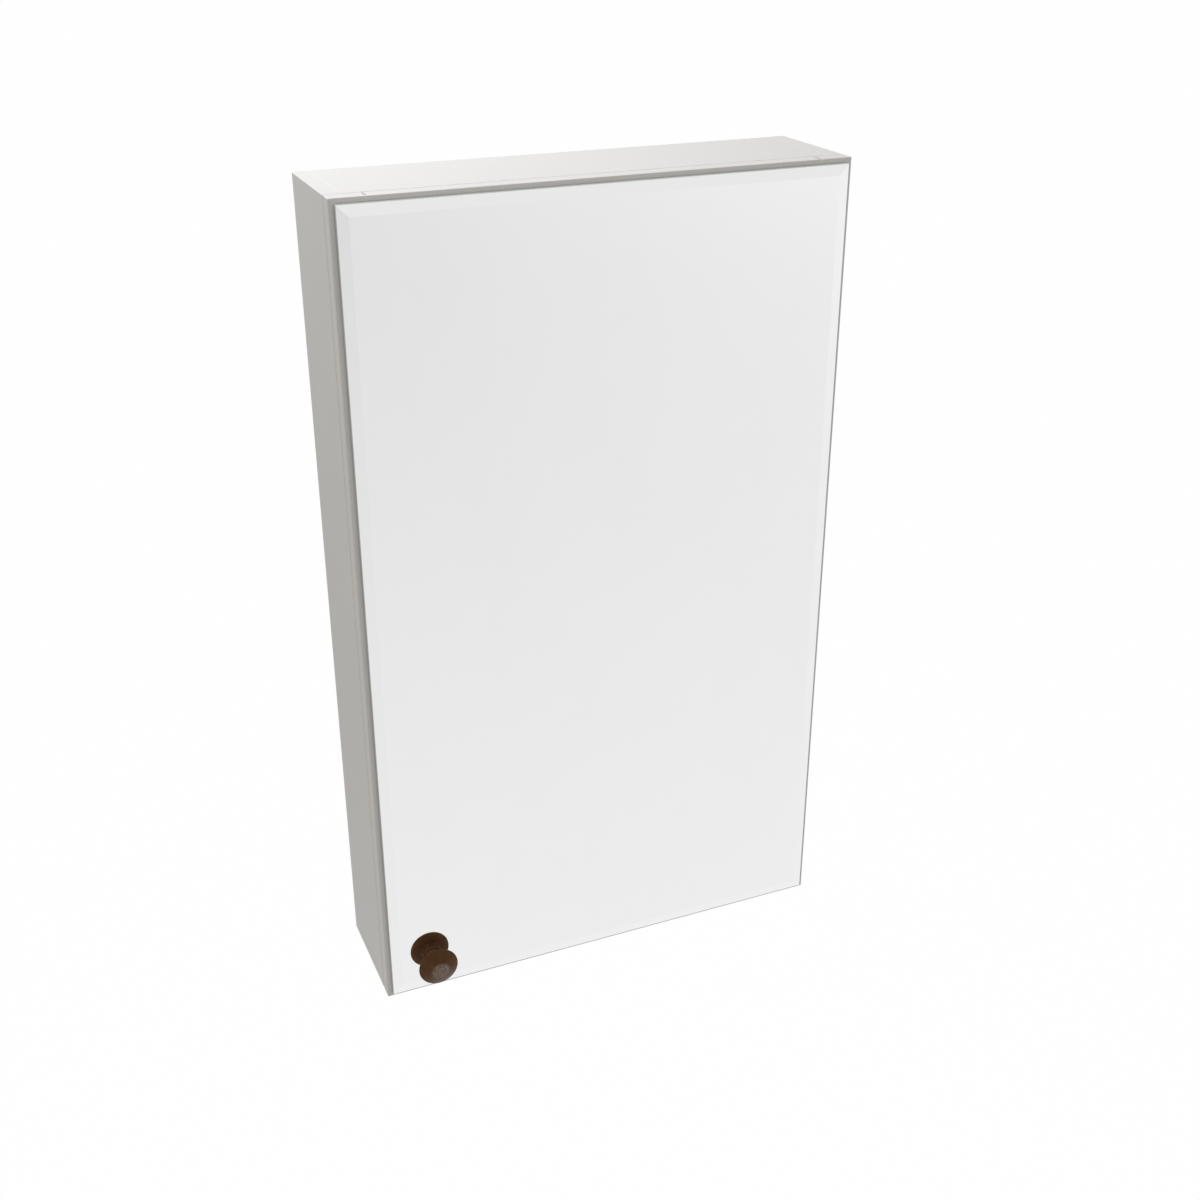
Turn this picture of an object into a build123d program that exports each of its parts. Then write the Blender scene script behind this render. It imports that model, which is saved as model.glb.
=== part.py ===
from build123d import *
import os

# White wall cabinet with one door. A bevelled mirror stands proud on the door's narrow wooden frame.
# The origin is the middle of the back, on the wall. +X is to the right, +Y goes into the wall, +Z is up.
# A depth is a distance in front of the wall, so a piece at depth d lies at Y = -d.

# Box, all lengths in millimetres
cabinet_width = 381.0
cabinet_height = 635.0
box_depth = 86.0
board_thickness = 12.0
edge_round = 0.8

# Back panel, let into a rebate behind the box
back_thickness = 4.0
back_lap = 7.0
back_clearance = 0.5
back_screw_inset = 3.2
back_screw_from_end = 60.0
back_screw_from_side = 90.0
back_screw_head = 5.0
back_screw_shank = 2.5
back_screw_length = 14.0

# Hanging rails, through which the cabinet is screwed to the wall
rail_height = 45.0
rail_thickness = 12.0
wall_hole_diameter = 5.0
wall_hole_spacing = 254.0

# Dowels of the box and of the door frame
dowel_diameter = 6.0
dowel_length = 30.0
dowel_depth_in_side = 9.0
dowel_depth_in_stile = 14.0
dowel_end_space = 0.5
dowel_clearance = 0.05
dowel_chamfer = 0.8
dowel_setback = 20.0
rail_dowel_spacing = 22.0

# Shelves and the pins that carry them
shelf_thickness = 12.0
shelf_depth = 72.0
shelf_side_space = 1.5
shelf_back_space = 1.0
shelf_front_round = 3.0
lower_shelf_height = 195.0
upper_shelf_height = 402.0
pin_diameter = 5.0
pin_depth = 8.0
pin_clearance = 0.05
pin_collar_diameter = 7.6
pin_collar_thickness = 1.0
pin_paddle_width = 8.0
pin_paddle_length = 10.5
pin_paddle_thickness = 2.2
pin_paddle_rise = 0.5
pin_row_setback = 14.0
pin_row_pitch = 32.0
pin_rows_each_way = 1

# Door frame and the panel that fills it
door_gap = 1.2
door_thickness = 12.0
stile_width = 25.0
rail_width = 25.0
seam_ease = 0.4
door_panel_thickness = 6.0
door_panel_lap = 6.0
door_panel_clearance = 0.5

# Mirror and the foam tape that holds it
mirror_reveal = 3.8
glass_thickness = 4.0
rim_thickness = 2.6
bevel_width = 8.0
glass_arris = 0.3
tape_thickness = 0.8
tape_width = 12.0
tape_inset = 5.0
tape_break = 3.0
glass_hole_diameter = 6.0
pad_diameter = 16.0

# Knob and its fixing through the glass
knob_from_side = 38.6
knob_from_bottom = 31.0
knob_diameter = 32.0
knob_projection = 19.0
knob_rim_height = 11.3
knob_rim_round = 1.6
knob_rim_under = 80.0
knob_rim_over = 55.0
knob_face_diameter = 16.0
knob_face_crown = 0.6
knob_base_diameter = 17.6
knob_base_height = 1.9
knob_shoulder_diameter = 14.6
knob_shoulder_height = 3.4
knob_neck_diameter = 12.0
knob_neck_height = 5.8
knob_cove_diameter = 18.4
knob_cove_height = 9.0
gasket_thickness = 0.5
gasket_diameter = 16.0
knob_screw_diameter = 4.0
knob_screw_engagement = 9.0
knob_screw_head = 8.0
knob_screw_head_height = 2.4
washer_diameter = 9.0
washer_thickness = 1.0

# Hinges: the smaller leaf on the box nests in a window of the larger leaf on the door
hinge_from_end = 95.0
hinge_height = 50.0
leaf_thickness = 1.0
knuckle_side_space = 0.4
knuckle_end_space = 0.2
knuckle_slit = 0.25
hinge_pin_diameter = 3.1
hinge_pin_clearance = 0.05
hinge_pin_head = 4.4
hinge_pin_head_height = 0.8
box_leaf_width = 11.0
box_leaf_height = 28.0
door_leaf_width = 20.0
leaf_window_space = 0.8
leaf_corner = 1.5
hinge_screw_shank = 2.8
hinge_screw_length = 9.5
box_leaf_hole_spacing = 14.0

# Magnetic catch on the left side and its strike plate on the door
catch_from_bottom = 75.0
catch_width = 12.0
catch_depth = 15.0
catch_height = 26.0
catch_wall = 2.0
catch_round = 0.8
catch_ear_thickness = 3.0
catch_ear_height = 10.0
catch_ear_depth = 12.0
catch_slot_length = 6.5
catch_screw_shank = 2.8
catch_screw_head = 5.6
catch_screw_head_height = 1.8
catch_screw_length = 12.0
magnet_thickness = 5.0
pole_thickness = 1.4
pole_stand_out = 0.8
magnet_space = 0.1
strike_width = 11.0
strike_height = 36.0
strike_thickness = 1.0
strike_corner = 2.0

# Soft stops on the box's front edge
bumper_diameter = 8.0
bumper_height = 1.0
bumper_from_end = 28.0

# Small values that screws share
screw_land = 0.2
tiny = 0.01
screw_point = 2.0
screw_clearance = 0.05
pilot_space = 0.5

# Worked-out places
half_width = cabinet_width / 2
half_height = cabinet_height / 2
inner_half_width = half_width - board_thickness
inner_half_height = half_height - board_thickness
door_back = box_depth + door_gap
door_front = door_back + door_thickness
door_panel_back = door_front - door_panel_thickness
glass_back = door_front + tape_thickness
glass_front = glass_back + glass_thickness
knob_base = glass_front + gasket_thickness
opening_half_width = half_width - stile_width
opening_half_height = half_height - rail_width
glass_half_width = half_width - mirror_reveal
glass_half_height = half_height - mirror_reveal
knob_x = knob_from_side - half_width
knob_z = knob_from_bottom - half_height
bore_diameter = hinge_pin_diameter + 2 * hinge_pin_clearance
knuckle_diameter = bore_diameter + 2 * leaf_thickness
hinge_axis_x = half_width + knuckle_side_space + knuckle_diameter / 2
hinge_axis_depth = box_depth + door_gap / 2
hinge_places = {"upper": half_height - hinge_from_end, "lower": hinge_from_end - half_height}
shelf_places = {
    "lower": lower_shelf_height - inner_half_height,
    "upper": upper_shelf_height - inner_half_height,
}
pin_depths = (back_thickness + pin_row_setback, box_depth - pin_row_setback)
catch_x = catch_width / 2 - inner_half_width
catch_z = catch_from_bottom - half_height
catch_front = box_depth - pole_stand_out

# Directions that a face or a fastener can look in
to_right = (1, 0, 0)
to_left = (-1, 0, 0)
to_wall = (0, 1, 0)
to_room = (0, -1, 0)

os.makedirs("parts", exist_ok=True)


def at_depth(depth):
    # Upright plane that looks into the room, at this depth in front of the wall
    return Plane.XZ.offset(depth)


def seat(x, depth, z, direction):
    # Plane on which a hole or fastener starts: its normal is the direction, its local Y is up
    return Plane(origin=(x, -depth, z), x_dir=Vector(0, 0, 1).cross(Vector(*direction)), z_dir=direction)


def toward_middle(side):
    return to_left if side > 0 else to_right


def away_from_middle(side):
    return to_right if side > 0 else to_left


def save(piece, name):
    piece.part.label = name
    export_step(piece.part, f"parts/{name}.step")


def flat_head_screw(head_diameter, shank_diameter, length):
    # The top of the head is at the origin and the point is at -Z
    head_radius = head_diameter / 2
    shank_radius = shank_diameter / 2
    with BuildPart() as screw:
        with BuildSketch(Plane.XZ):
            with BuildLine():
                Polyline(
                    (0, 0),
                    (head_radius, 0),
                    (head_radius, -screw_land),
                    (shank_radius, -screw_land - head_radius + shank_radius),
                    (shank_radius, screw_point - length),
                    (0, -length),
                    close=True,
                )
            make_face()
        revolve(axis=Axis.Z)
    return screw.part


def pan_head_screw(head_diameter, head_height, shank_diameter, length):
    # The underside of the head is at the origin
    with BuildPart() as screw:
        with BuildSketch(Plane.XY):
            Circle(head_diameter / 2)
        extrude(amount=head_height)
        fillet(screw.edges().sort_by(Axis.Z)[-1], radius=0.6 * head_height)
        with BuildSketch(Plane.XY):
            Circle(shank_diameter / 2)
        extrude(amount=-length)
        chamfer(screw.edges().sort_by(Axis.Z)[0], length=0.3 * shank_diameter)
    return screw.part


def leaf_screw_head(sheet_thickness):
    # Head whose cone ends level with the far side of the sheet that it holds
    return hinge_screw_shank + 2 * (sheet_thickness - screw_land)


def sink_hole(head_diameter, shank_diameter):
    # Countersunk through hole that takes a flat head flush
    CounterSinkHole(
        radius=shank_diameter / 2 + screw_clearance,
        counter_sink_radius=head_diameter / 2 + screw_land + screw_clearance,
        counter_sink_angle=90,
    )


def pilot_hole(shank_diameter, depth):
    Hole(radius=shank_diameter / 2 + screw_clearance, depth=depth)


# Seats of everything that fastens or locates
side_dowel_depths = (dowel_setback, box_depth - dowel_setback)
rail_middle_depth = back_thickness + rail_thickness / 2
rail_z = inner_half_height - rail_height / 2


def box_dowel_seats(side, direction):
    # On the inner face of a side: two dowels for the top, two for the bottom, two for each rail
    x = side * inner_half_width
    panel_z = half_height - board_thickness / 2
    seats = [seat(x, depth, end * panel_z, direction) for depth in side_dowel_depths for end in (-1, 1)]
    for end in (-1, 1):
        for step in (-1, 1):
            z = end * rail_z + step * rail_dowel_spacing / 2
            seats.append(seat(x, rail_middle_depth, z, direction))
    return seats


def door_dowel_seats(side, direction):
    # On the joint between a stile and the ends of both rails
    x = side * opening_half_width
    middle_depth = door_back + door_thickness / 2
    z = half_height - (rail_width - door_panel_lap) / 2
    return [seat(x, middle_depth, end * z, direction) for end in (-1, 1)]


def shelf_pin_seats(shelf_z, side):
    z = shelf_z - pin_paddle_rise
    return [seat(side * inner_half_width, depth, z, toward_middle(side)) for depth in pin_depths]


def wall_hole_seats(depth):
    return [
        seat(across * wall_hole_spacing / 2, depth, end * rail_z, to_room)
        for across in (-1, 1)
        for end in (-1, 1)
    ]


def back_screw_seats(depth):
    side_x = inner_half_width + back_screw_inset
    side_z = (back_screw_from_end - half_height, 0, half_height - back_screw_from_end)
    end_x = half_width - back_screw_from_side
    end_z = inner_half_height + back_screw_inset
    seats = [seat(side * side_x, depth, z, to_wall) for side in (-1, 1) for z in side_z]
    return seats + [seat(side * end_x, depth, end * end_z, to_wall) for side in (-1, 1) for end in (-1, 1)]


def box_leaf_seats(center_z, depth):
    x = half_width - board_thickness / 2
    return [seat(x, depth, center_z + end * box_leaf_hole_spacing / 2, to_room) for end in (-1, 1)]


def door_leaf_seats(center_z, depth):
    window_top = box_leaf_height / 2 + leaf_window_space
    arm_z = (window_top + hinge_height / 2) / 2
    arm_x = half_width - box_leaf_width / 2
    spine_x = half_width - (box_leaf_width + leaf_window_space + door_leaf_width) / 2
    places = [(arm_x, arm_z), (arm_x, -arm_z), (spine_x, 0)]
    return [seat(x, depth, center_z + z, to_wall) for x, z in places]


def catch_screw_seats(x):
    ear_z = (catch_height + catch_ear_height) / 2
    middle_depth = catch_front - catch_depth + catch_ear_depth / 2
    return [seat(x, middle_depth, catch_z + end * ear_z, to_right) for end in (-1, 1)]


def bumper_seats():
    x = board_thickness / 2 - half_width
    return [seat(x, box_depth, end * (half_height - bumper_from_end), to_room) for end in (-1, 1)]


# Box: two sides, top, bottom
def side_board(side):
    with BuildPart() as board:
        with BuildSketch(Plane.XZ):
            with Locations((side * (half_width - board_thickness / 2), 0)):
                Rectangle(board_thickness, cabinet_height)
        extrude(amount=box_depth)
        outer_edges = board.faces().sort_by(Axis.X)[-1 if side > 0 else 0].edges()
        front_ends = board.faces().sort_by(Axis.Y)[0].edges().filter_by(Axis.X)
        fillet(outer_edges + front_ends, radius=edge_round)
        # Rebate for the back panel, stopped short of both ends
        with BuildSketch(Plane.XZ):
            with Locations((side * (inner_half_width + back_lap / 2), 0)):
                Rectangle(back_lap, 2 * (inner_half_height + back_lap))
        extrude(amount=back_thickness, mode=Mode.SUBTRACT)
        with Locations(*box_dowel_seats(side, toward_middle(side))):
            Hole(radius=dowel_diameter / 2 + dowel_clearance, depth=dowel_depth_in_side + dowel_end_space)
        # A column of pin holes for each shelf, near the back and near the front
        for shelf_z in shelf_places.values():
            for row in range(-pin_rows_each_way, pin_rows_each_way + 1):
                with Locations(*shelf_pin_seats(shelf_z + row * pin_row_pitch, side)):
                    Hole(radius=pin_diameter / 2 + pin_clearance, depth=pin_depth + pin_clearance)
        # The end panels carry the back screws that lie nearer the middle
        places = back_screw_seats(back_thickness)
        with Locations(*[place for place in places if place.origin.X * side > inner_half_width]):
            pilot_hole(back_screw_shank, back_screw_length - back_thickness + pilot_space)
    return board.part


left_board = side_board(-1)
with BuildPart() as left_side:
    add(left_board)
    with Locations(*catch_screw_seats(-inner_half_width)):
        pilot_hole(catch_screw_shank, catch_screw_length - catch_ear_thickness + pilot_space)
save(left_side, "left_side")

right_board = side_board(1)
with BuildPart() as right_side:
    add(right_board)
    for hinge_z in hinge_places.values():
        with Locations(*box_leaf_seats(hinge_z, box_depth)):
            pilot_hole(hinge_screw_shank, hinge_screw_length - leaf_thickness + pilot_space)
save(right_side, "right_side")

for name, end in (("top_panel", 1), ("bottom_panel", -1)):
    with BuildPart() as end_panel:
        with BuildSketch(Plane.XZ):
            with Locations((0, end * (half_height - board_thickness / 2))):
                Rectangle(2 * inner_half_width, board_thickness)
        extrude(amount=box_depth)
        outer_edges = end_panel.faces().sort_by(Axis.Z)[-1 if end > 0 else 0].edges().filter_by(Axis.X)
        fillet(outer_edges, radius=edge_round)
        with BuildSketch(Plane.XZ):
            with Locations((0, end * (inner_half_height + back_lap / 2))):
                Rectangle(2 * inner_half_width, back_lap)
        extrude(amount=back_thickness, mode=Mode.SUBTRACT)
        for side in (-1, 1):
            places = box_dowel_seats(side, away_from_middle(side))
            with Locations(*[place for place in places if place.origin.Z * end > inner_half_height]):
                Hole(
                    radius=dowel_diameter / 2 + dowel_clearance,
                    depth=dowel_length - dowel_depth_in_side + dowel_end_space,
                )
        places = back_screw_seats(back_thickness)
        with Locations(*[place for place in places if place.origin.Z * end > inner_half_height]):
            pilot_hole(back_screw_shank, back_screw_length - back_thickness + pilot_space)
    save(end_panel, name)

# Back panel and hanging rails
with BuildPart() as back_panel:
    with BuildSketch(Plane.XZ):
        reach = back_lap - back_clearance
        Rectangle(2 * (inner_half_width + reach), 2 * (inner_half_height + reach))
    extrude(amount=back_thickness)
    with Locations(*wall_hole_seats(back_thickness)):
        Hole(radius=wall_hole_diameter / 2)
    with Locations(*back_screw_seats(0)):
        sink_hole(back_screw_head, back_screw_shank)
save(back_panel, "back_panel")

for name, end in (("upper_hanging_rail", 1), ("lower_hanging_rail", -1)):
    with BuildPart() as hanging_rail:
        with BuildSketch(at_depth(back_thickness)):
            with Locations((0, end * rail_z)):
                Rectangle(2 * inner_half_width, rail_height)
        extrude(amount=rail_thickness)
        inner_face = hanging_rail.faces().sort_by(Axis.Z)[0 if end > 0 else -1]
        fillet(inner_face.edges().filter_by(Axis.X).sort_by(Axis.Y)[0], radius=edge_round)
        with Locations(*wall_hole_seats(back_thickness + rail_thickness)):
            Hole(radius=wall_hole_diameter / 2)
        for side in (-1, 1):
            places = box_dowel_seats(side, away_from_middle(side))
            with Locations(*[place for place in places if 0 < place.origin.Z * end < inner_half_height]):
                Hole(
                    radius=dowel_diameter / 2 + dowel_clearance,
                    depth=dowel_length - dowel_depth_in_side + dowel_end_space,
                )
    save(hanging_rail, name)


# Dowels lie half in one board and half in the other
def dowel(depth_in_seat):
    with BuildPart() as pin:
        with BuildSketch(Plane.XY.offset(-depth_in_seat)):
            Circle(dowel_diameter / 2)
        extrude(amount=dowel_length)
        chamfer(pin.edges(), length=dowel_chamfer)
    return pin.part


box_dowel = dowel(dowel_depth_in_side)
with BuildPart() as box_dowels:
    for side in (-1, 1):
        with Locations(*box_dowel_seats(side, toward_middle(side))):
            add(box_dowel)
save(box_dowels, "box_dowels")

back_screw = flat_head_screw(back_screw_head, back_screw_shank, back_screw_length)
with BuildPart() as back_screws:
    with Locations(*back_screw_seats(0)):
        add(back_screw)
save(back_screws, "back_screws")

# Shelves, each on four pins
for name, shelf_z in shelf_places.items():
    shelf_back = back_thickness + shelf_back_space
    with BuildPart() as shelf:
        with BuildSketch(at_depth(shelf_back)):
            with Locations((0, shelf_z + shelf_thickness / 2)):
                Rectangle(2 * (inner_half_width - shelf_side_space), shelf_thickness)
        extrude(amount=shelf_depth)
        front_edges = shelf.faces().sort_by(Axis.Y)[0].edges().filter_by(Axis.X)
        fillet(front_edges, radius=shelf_front_round)
    save(shelf, f"{name}_shelf")


def shelf_pin():
    # The shank lies along -Z in its hole, and the paddle reaches under the shelf along +Z
    with BuildPart() as pin:
        with BuildSketch(Plane.XY.offset(-pin_depth)):
            Circle(pin_diameter / 2)
        extrude(amount=pin_depth)
        with BuildSketch(Plane.XY):
            Circle(pin_collar_diameter / 2)
        extrude(amount=pin_collar_thickness)
        with BuildSketch(Plane.XZ.offset(-pin_paddle_rise)):
            with Locations((0, pin_paddle_length / 2)):
                paddle = Rectangle(pin_paddle_width, pin_paddle_length)
            fillet(paddle.vertices().group_by(Axis.Y)[-1], radius=pin_paddle_width / 3)
        extrude(amount=pin_paddle_thickness)
    return pin.part


one_shelf_pin = shelf_pin()
for name, shelf_z in shelf_places.items():
    with BuildPart() as shelf_pins:
        for side in (-1, 1):
            with Locations(*shelf_pin_seats(shelf_z, side)):
                add(one_shelf_pin)
    save(shelf_pins, f"{name}_shelf_pins")


# Door frame: two stiles from top to bottom, with the rails butted between them
def door_stile(side):
    with BuildPart() as stile:
        with BuildSketch(at_depth(door_back)):
            with Locations((side * (half_width - stile_width / 2), 0)):
                Rectangle(stile_width, cabinet_height)
        extrude(amount=door_thickness)
        outer_edges = stile.faces().sort_by(Axis.X)[-1 if side > 0 else 0].edges()
        end_edges = stile.edges().filter_by(Axis.X)
        fillet(outer_edges + end_edges, radius=edge_round)
        # Rebate at the front for the panel, stopped under the rails
        with BuildSketch(at_depth(door_front)):
            with Locations((side * (opening_half_width + door_panel_lap / 2), 0)):
                Rectangle(door_panel_lap, 2 * (opening_half_height + door_panel_lap))
        extrude(amount=-door_panel_thickness, mode=Mode.SUBTRACT)
        with Locations(*door_dowel_seats(side, toward_middle(side))):
            Hole(radius=dowel_diameter / 2 + dowel_clearance, depth=dowel_depth_in_stile + dowel_end_space)
    return stile.part


left_stile = door_stile(-1)
with BuildPart() as door_left_stile:
    add(left_stile)
    with Locations(seat(catch_x, door_back, catch_z, to_wall)):
        pilot_hole(hinge_screw_shank, hinge_screw_length - strike_thickness + pilot_space)
save(door_left_stile, "door_left_stile")

right_stile = door_stile(1)
with BuildPart() as door_right_stile:
    add(right_stile)
    for hinge_z in hinge_places.values():
        with Locations(*door_leaf_seats(hinge_z, door_back)):
            pilot_hole(hinge_screw_shank, hinge_screw_length - leaf_thickness + pilot_space)
save(door_right_stile, "door_right_stile")

for name, end in (("door_top_rail", 1), ("door_bottom_rail", -1)):
    with BuildPart() as door_rail:
        with BuildSketch(at_depth(door_back)):
            with Locations((0, end * (half_height - rail_width / 2))):
                Rectangle(2 * opening_half_width, rail_width)
        extrude(amount=door_thickness)
        outer_edges = door_rail.faces().sort_by(Axis.Z)[-1 if end > 0 else 0].edges().filter_by(Axis.X)
        fillet(outer_edges, radius=edge_round)
        # Eased ends leave the hairline at each butt joint
        chamfer(door_rail.faces().filter_by(Axis.X).edges(), length=seam_ease)
        with BuildSketch(at_depth(door_front)):
            with Locations((0, end * (opening_half_height + door_panel_lap / 2))):
                Rectangle(2 * opening_half_width, door_panel_lap)
        extrude(amount=-door_panel_thickness, mode=Mode.SUBTRACT)
        for side in (-1, 1):
            places = door_dowel_seats(side, away_from_middle(side))
            with Locations(*[place for place in places if place.origin.Z * end > 0]):
                Hole(
                    radius=dowel_diameter / 2 + dowel_clearance,
                    depth=dowel_length - dowel_depth_in_stile + dowel_end_space,
                )
    save(door_rail, name)

door_dowel = dowel(dowel_depth_in_stile)
with BuildPart() as door_dowels:
    for side in (-1, 1):
        with Locations(*door_dowel_seats(side, toward_middle(side))):
            add(door_dowel)
save(door_dowels, "door_dowels")

with BuildPart() as door_panel:
    with BuildSketch(at_depth(door_panel_back)):
        reach = door_panel_lap - door_panel_clearance
        Rectangle(2 * (opening_half_width + reach), 2 * (opening_half_height + reach))
    extrude(amount=door_panel_thickness)
    with Locations(seat(knob_x, door_front, knob_z, to_room)):
        Hole(radius=knob_screw_diameter / 2 + screw_clearance)
save(door_panel, "door_panel")

# Mirror: plate with a square rim and a bevel worked to the flat face, held by strips of foam tape
with BuildPart() as mirror_tape:
    with BuildSketch(at_depth(door_front)):
        strip_x = glass_half_width - tape_inset - tape_width / 2
        strip_z = glass_half_height - tape_inset - tape_width / 2
        with Locations((-strip_x, 0), (0, 0), (strip_x, 0)):
            Rectangle(tape_width, 2 * (strip_z - tape_width / 2 - tape_break))
        with Locations((0, -strip_z), (0, strip_z)):
            Rectangle(2 * (glass_half_width - tape_inset), tape_width)
        with Locations((knob_x, knob_z)):
            Circle(pad_diameter / 2)
            Circle(glass_hole_diameter / 2, mode=Mode.SUBTRACT)
    extrude(amount=tape_thickness)
save(mirror_tape, "mirror_tape")

with BuildPart() as mirror_glass:
    with BuildSketch(at_depth(glass_back)):
        Rectangle(2 * glass_half_width, 2 * glass_half_height)
    extrude(amount=rim_thickness)
    with BuildSketch(at_depth(glass_back + rim_thickness)):
        Rectangle(2 * glass_half_width, 2 * glass_half_height)
    with BuildSketch(at_depth(glass_front)):
        Rectangle(2 * (glass_half_width - bevel_width), 2 * (glass_half_height - bevel_width))
    loft(ruled=True)
    # The rim's sharp edges are seamed, behind and where the bevel starts
    rim_edges = mirror_glass.edges().filter_by_position(
        Axis.Y, -glass_back - rim_thickness - tiny, -glass_back + tiny
    )
    chamfer(rim_edges.filter_by(Axis.Y, reverse=True), length=glass_arris)
    with Locations(seat(knob_x, glass_front, knob_z, to_room)):
        Hole(radius=glass_hole_diameter / 2)
save(mirror_glass, "mirror_glass")

# Knob: turned base, waisted neck and a domed head with a flatter face
with BuildPart() as knob_gasket:
    with BuildSketch(at_depth(glass_front)):
        with Locations((knob_x, knob_z)):
            Circle(gasket_diameter / 2)
            Circle(knob_screw_diameter / 2 + screw_clearance, mode=Mode.SUBTRACT)
    extrude(amount=gasket_thickness)
save(knob_gasket, "knob_gasket")

with BuildPart() as knob:
    base_radius = knob_base_diameter / 2
    rim_radius = knob_diameter / 2
    base_top = (base_radius, knob_base_height)
    shoulder = (knob_shoulder_diameter / 2, knob_shoulder_height)
    neck = (knob_neck_diameter / 2, knob_neck_height)
    cove_end = (knob_cove_diameter / 2, knob_cove_height)
    rim_middle = (rim_radius - knob_rim_round, knob_rim_height)
    face_edge = (knob_face_diameter / 2, knob_projection - knob_face_crown)
    with BuildSketch(Plane(origin=(knob_x, -knob_base, knob_z), x_dir=(1, 0, 0), z_dir=(0, 0, -1))):
        with BuildLine():
            Polyline((0, 0), (base_radius, 0), base_top)
            TangentArc(base_top, shoulder, tangent=(0, 1))
            cove = ThreePointArc(shoulder, neck, cove_end)
            rim = CenterArc(rim_middle, knob_rim_round, -knob_rim_under, knob_rim_under + knob_rim_over)
            TangentArc(cove_end, rim @ 0, tangent=cove % 1)
            TangentArc(rim @ 1, face_edge, tangent=rim % 1)
            TangentArc((0, knob_projection), face_edge, tangent=(1, 0))
            Line((0, knob_projection), (0, 0))
        make_face()
    revolve(axis=Axis((knob_x, 0, knob_z), to_room))
    with Locations(seat(knob_x, knob_base, knob_z, to_wall)):
        Hole(radius=knob_screw_diameter / 2 + screw_clearance, depth=knob_screw_engagement + pilot_space)
save(knob, "knob")

with BuildPart() as knob_washer:
    with BuildSketch(at_depth(door_panel_back)):
        with Locations((knob_x, knob_z)):
            Circle(washer_diameter / 2)
            Circle(knob_screw_diameter / 2 + screw_clearance, mode=Mode.SUBTRACT)
    extrude(amount=-washer_thickness)
save(knob_washer, "knob_washer")

screw_length = knob_base + knob_screw_engagement - door_panel_back + washer_thickness
through_screw = pan_head_screw(knob_screw_head, knob_screw_head_height, knob_screw_diameter, screw_length)
with BuildPart() as knob_screw:
    with Locations(seat(knob_x, door_panel_back - washer_thickness, knob_z, to_wall)):
        add(through_screw)
save(knob_screw, "knob_screw")


# Hinges. The door leaf is a sheet with a window and two end knuckles, and the box leaf is a smaller
# sheet with the middle knuckle. Closed, both lie in the one gap between the box and the door.
# Each knuckle is the sheet's own edge rolled round the pin.
def on_hinge_axis(diameter, bottom, top, mode=Mode.ADD):
    with BuildSketch(Plane.XY.offset(bottom)) as section:
        with Locations((hinge_axis_x, -hinge_axis_depth)):
            Circle(diameter / 2)
    extrude(section.sketch, amount=top - bottom, mode=mode)


def leaf_sheet(depth, width, height, center_z, thickness):
    # Sheet from the hinge axis to this width inside the cabinet's side, with its far corners rounded
    far_x = half_width - width
    with BuildSketch(at_depth(depth)) as outline:
        with Locations(((far_x + hinge_axis_x) / 2, center_z)):
            sheet = Rectangle(hinge_axis_x - far_x, height)
        fillet(sheet.vertices().group_by(Axis.X)[0], radius=leaf_corner)
    extrude(outline.sketch, amount=thickness)


def open_curl(sheet_depth, direction):
    # Thin slit at the root of the sheet, where the rolled end of a knuckle stops short of it
    slit_depth = sheet_depth + direction * knuckle_slit / 2
    with BuildSketch(Plane.XY) as slit:
        with Locations((hinge_axis_x - knuckle_diameter / 2, -slit_depth)):
            Rectangle(knuckle_diameter - bore_diameter, knuckle_slit)
    extrude(slit.sketch, amount=half_height, both=True, mode=Mode.SUBTRACT)


for name, hinge_z in hinge_places.items():
    hinge_top = hinge_z + hinge_height / 2
    hinge_bottom = hinge_z - hinge_height / 2
    middle_top = hinge_z + box_leaf_height / 2
    middle_bottom = hinge_z - box_leaf_height / 2

    with BuildPart() as box_leaf:
        leaf_sheet(box_depth, box_leaf_width, box_leaf_height, hinge_z, leaf_thickness)
        on_hinge_axis(knuckle_diameter, middle_bottom, middle_top)
        on_hinge_axis(bore_diameter, middle_bottom, middle_top, Mode.SUBTRACT)
        open_curl(box_depth + leaf_thickness, 1)
        with Locations(*box_leaf_seats(hinge_z, box_depth + leaf_thickness)):
            sink_hole(leaf_screw_head(leaf_thickness), hinge_screw_shank)
    save(box_leaf, f"{name}_hinge_box_leaf")

    with BuildPart() as door_leaf:
        leaf_sheet(door_back, door_leaf_width, hinge_height, hinge_z, -leaf_thickness)
        window_far_x = half_width - box_leaf_width - leaf_window_space
        window_near_x = hinge_axis_x + knuckle_diameter
        with BuildSketch(at_depth(door_back)):
            with Locations(((window_far_x + window_near_x) / 2, hinge_z)):
                Rectangle(window_near_x - window_far_x, box_leaf_height + 2 * leaf_window_space)
        extrude(amount=-leaf_thickness, mode=Mode.SUBTRACT)
        on_hinge_axis(knuckle_diameter, middle_top + knuckle_end_space, hinge_top)
        on_hinge_axis(knuckle_diameter, hinge_bottom, middle_bottom - knuckle_end_space)
        on_hinge_axis(bore_diameter, hinge_bottom, hinge_top, Mode.SUBTRACT)
        open_curl(door_back - leaf_thickness, -1)
        with Locations(*door_leaf_seats(hinge_z, door_back - leaf_thickness)):
            sink_hole(leaf_screw_head(leaf_thickness), hinge_screw_shank)
    save(door_leaf, f"{name}_hinge_door_leaf")

    with BuildPart() as hinge_pin:
        on_hinge_axis(hinge_pin_diameter, hinge_bottom, hinge_top)
        on_hinge_axis(hinge_pin_head, hinge_top, hinge_top + hinge_pin_head_height)
        on_hinge_axis(hinge_pin_head, hinge_bottom - hinge_pin_head_height, hinge_bottom)
        end_edges = hinge_pin.edges().sort_by(Axis.Z)
        fillet([end_edges[0], end_edges[-1]], radius=0.7 * hinge_pin_head_height)
    save(hinge_pin, f"{name}_hinge_pin")

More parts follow.
